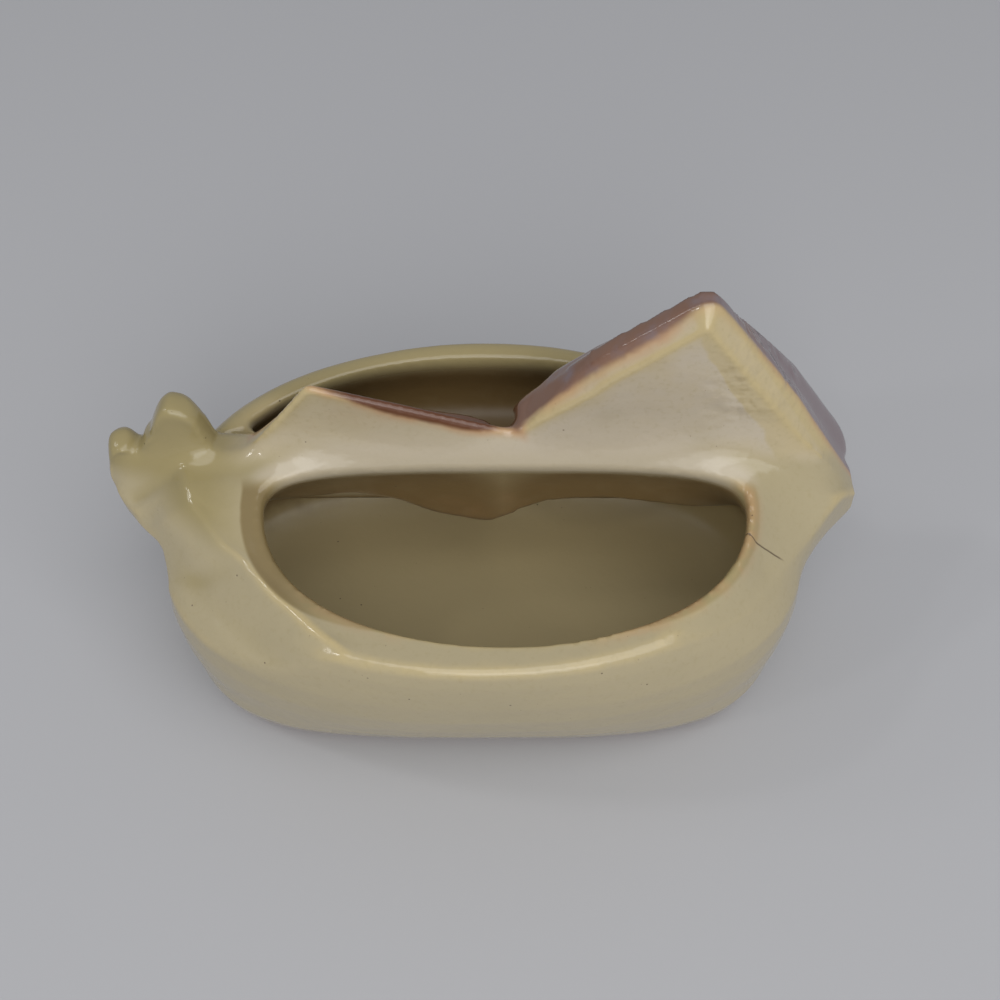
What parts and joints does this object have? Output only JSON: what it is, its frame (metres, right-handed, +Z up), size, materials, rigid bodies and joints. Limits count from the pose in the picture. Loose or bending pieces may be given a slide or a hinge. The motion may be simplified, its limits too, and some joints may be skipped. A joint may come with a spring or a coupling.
{
  "type": "ceramic planter",
  "caption": "Glazed oval planter with a wide planting mouth, a standing slab with lobes, a peak and a square wing, and a shallow basin in front.",
  "frame": {"origin": "centre of the footprint, on the surface that the foot ring rests on", "axes": "+X to the right as seen from behind, where the planting mouth is nearest; +Y towards the front basin; +Z up"},
  "size_m": [0.228, 0.125, 0.1337],
  "materials": {
    "cream_glaze": "glossy cream glaze with a khaki cast, pooling darker in the hollows",
    "mauve_glaze": "glossy mauve-brown glaze, breaking red-brown on thin edges",
    "bare_clay": "dry unglazed clay"
  },
  "bodies": {
    "root": {"foot_ring": "bare_clay", "bowl": "cream_glaze", "back_rim": "cream_glaze", "front_basin": "cream_glaze", "back_panel": "cream_glaze", "left_arm": "cream_glaze", "right_wing": "cream_glaze", "left_root": "cream_glaze", "right_root": "cream_glaze", "left_leaf": "mauve_glaze", "right_leaf": "mauve_glaze"}
  },
  "joints": []
}
